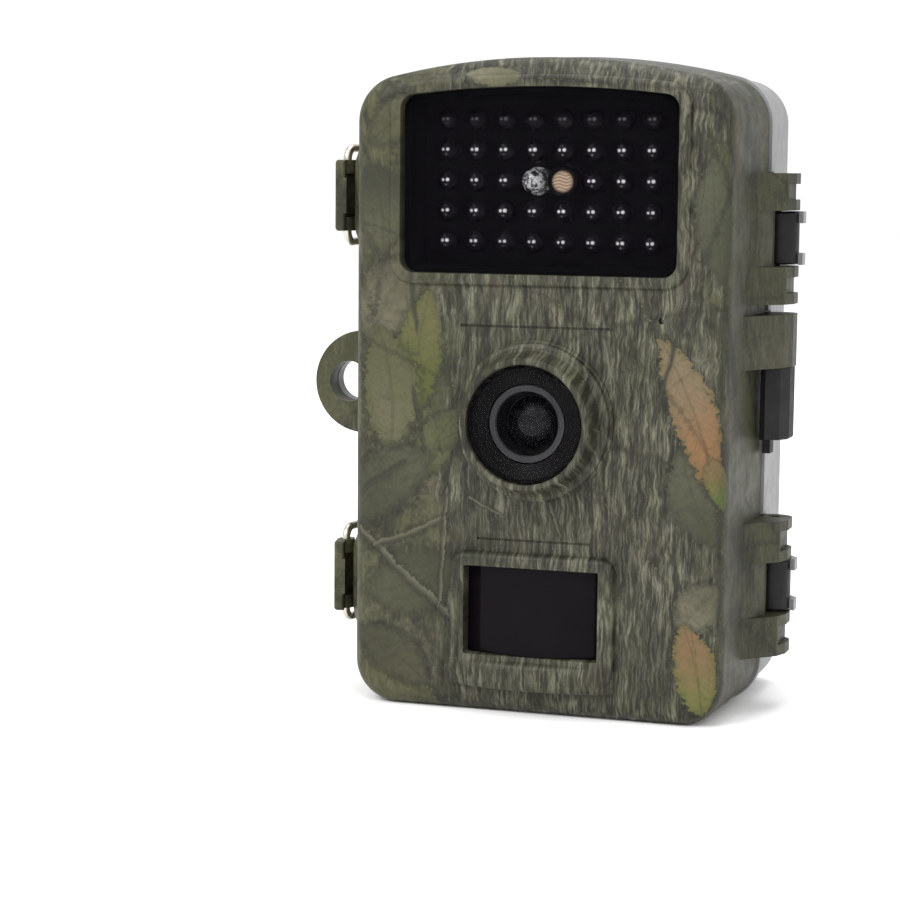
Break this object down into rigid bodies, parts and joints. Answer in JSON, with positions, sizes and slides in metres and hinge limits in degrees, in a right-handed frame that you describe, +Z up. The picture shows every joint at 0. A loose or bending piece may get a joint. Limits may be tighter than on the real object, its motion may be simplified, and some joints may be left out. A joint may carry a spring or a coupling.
{
  "type": "trail camera",
  "caption": "Upright camouflaged trail camera with infrared window, lens, motion detector, hinged back cover with wire latches, padlock eye, strap bracket and tripod socket.",
  "frame": {"origin": "mouth of the tripod socket in the middle of the base, 16 mm behind the front face", "axes": "+Z up the camera's height, -Y the way the lens looks, +X the hinge side, seen from the front on the right"},
  "size_m": [0.1064, 0.0761, 0.1355],
  "materials": {
    "camo": "semi-matte printed bark and leaf pattern",
    "cover": "fine matte moulded",
    "rubber": "matte",
    "black_plastic": "fine textured",
    "gloss_black": "glossy",
    "steel": "satin",
    "wire": "bright drawn wire, lightly tarnished",
    "dark_glass": "polished dark tint",
    "board": "solder mask",
    "led_dark": "polished domes",
    "led_clear": "clear dome",
    "sensor_tan": "clear coated",
    "glass": "clear",
    "lens_glass": "coated",
    "grey_ring": "satin",
    "pir_black": "polished, fine ribs behind",
    "can": "satin",
    "screen": "dark screen",
    "key_rubber": "soft matte",
    "key_white": "matte",
    "chip": "matte",
    "cell": "printed sleeve",
    "brass": "turned"
  },
  "bodies": {
    "case": {"front_shell": "camo", "case_seal": "rubber", "shell_fittings": "camo", "hinge_pins": "steel", "latch_pins": "steel", "ir_window": "dark_glass", "led_tray": "black_plastic", "led_board": "board", "ir_leds": "led_dark", "status_led": "led_clear", "light_sensor": "sensor_tan", "sensor_ring": "gloss_black", "lens_hood": "camo", "lens_window": "glass", "lens_barrel": "gloss_black", "lens_ring": "grey_ring", "lens_elements": "lens_glass", "lens_holder": "black_plastic", "image_sensor": "chip", "sensor_board": "board", "pir_lens": "pir_black", "pir_sensor": "can", "pir_holder": "black_plastic", "inner_chassis": "black_plastic", "lcd_panel": "screen", "lcd_frame": "steel", "lcd_window": "glass", "keypad_board": "board", "switch_body": "steel", "card_slot": "steel", "usb_port": "steel", "battery_cells": "cell", "battery_springs": "steel", "battery_contacts": "steel", "main_board": "board", "board_chips": "chip", "chassis_screws": "steel", "speaker": "chip", "microphone": "can", "dc_jack": "brass", "tripod_insert": "brass"},
    "cover": {"back_cover": "cover", "hinge_barrels": "black_plastic", "cover_fittings": "cover", "tree_bracket": "black_plastic", "bracket_screws": "steel"},
    "latch_lever_upper": {"latch_lever_upper": "camo"},
    "latch_lever_lower": {"latch_lever_lower": "camo"},
    "latch_bail_upper": {"latch_bail_upper": "wire"},
    "latch_bail_lower": {"latch_bail_lower": "wire"},
    "battery_lid": {"battery_lid": "black_plastic"},
    "switch_knob": {"switch_knob": "key_white"},
    "memory_card": {"memory_card": "chip"},
    "port_plug": {"port_plug": "rubber"},
    "button_menu": {"button_menu": "key_rubber"},
    "button_up": {"button_up": "key_rubber"},
    "button_down": {"button_down": "key_rubber"},
    "button_left": {"button_left": "key_rubber"},
    "button_right": {"button_right": "key_rubber"},
    "button_ok": {"button_ok": "key_rubber"}
  },
  "joints": [
    {"name": "cover_hinge", "type": "hinge", "parent": "case", "child": "cover", "pos_m": [0.044, 0.014, 0.0675], "axis": [0, 0, 1], "range_deg": [-110, 0]},
    {"name": "latch_upper", "type": "hinge", "parent": "case", "child": "latch_lever_upper", "pos_m": [-0.0454, 0.0027, 0.106], "axis": [0, 0, 1], "range_deg": [-110, 0]},
    {"name": "bail_upper", "type": "hinge", "parent": "latch_lever_upper", "child": "latch_bail_upper", "pos_m": [-0.0459, -0.0028, 0.106], "axis": [0, 0, 1], "range_deg": [0, 133]},
    {"name": "latch_lower", "type": "hinge", "parent": "case", "child": "latch_lever_lower", "pos_m": [-0.0454, 0.0027, 0.0249], "axis": [0, 0, 1], "range_deg": [-110, 0]},
    {"name": "bail_lower", "type": "hinge", "parent": "latch_lever_lower", "child": "latch_bail_lower", "pos_m": [-0.0459, -0.0028, 0.0249], "axis": [0, 0, 1], "range_deg": [0, 133]},
    {"name": "key_menu", "type": "slide", "parent": "case", "child": "button_menu", "axis": [0, -1, 0], "range_m": [0, 0.0006], "stiffness_N_per_m": 800, "springref_m": -0.0004},
    {"name": "key_up", "type": "slide", "parent": "case", "child": "button_up", "axis": [0, -1, 0], "range_m": [0, 0.0006], "stiffness_N_per_m": 800, "springref_m": -0.0004},
    {"name": "key_down", "type": "slide", "parent": "case", "child": "button_down", "axis": [0, -1, 0], "range_m": [0, 0.0006], "stiffness_N_per_m": 800, "springref_m": -0.0004},
    {"name": "key_left", "type": "slide", "parent": "case", "child": "button_left", "axis": [0, -1, 0], "range_m": [0, 0.0006], "stiffness_N_per_m": 800, "springref_m": -0.0004},
    {"name": "key_right", "type": "slide", "parent": "case", "child": "button_right", "axis": [0, -1, 0], "range_m": [0, 0.0006], "stiffness_N_per_m": 800, "springref_m": -0.0004},
    {"name": "key_ok", "type": "slide", "parent": "case", "child": "button_ok", "axis": [0, -1, 0], "range_m": [0, 0.0006], "stiffness_N_per_m": 800, "springref_m": -0.0004},
    {"name": "power_switch", "type": "slide", "parent": "case", "child": "switch_knob", "axis": [1, 0, 0], "range_m": [0, 0.006]},
    {"name": "battery_lid_slide", "type": "slide", "parent": "case", "child": "battery_lid", "axis": [0, 0, -1], "range_m": [0, 0.004]},
    {"name": "card_eject", "type": "slide", "parent": "case", "child": "memory_card", "axis": [0, 1, 0], "range_m": [0, 0.005]},
    {"name": "plug_pull", "type": "slide", "parent": "case", "child": "port_plug", "axis": [0, 0, -1], "range_m": [0, 0.005]}
  ],
  "couplings": [
    {"joint": "bail_upper", "follows": "latch_upper", "ratio": -1.2},
    {"joint": "bail_lower", "follows": "latch_lower", "ratio": -1.2}
  ]
}
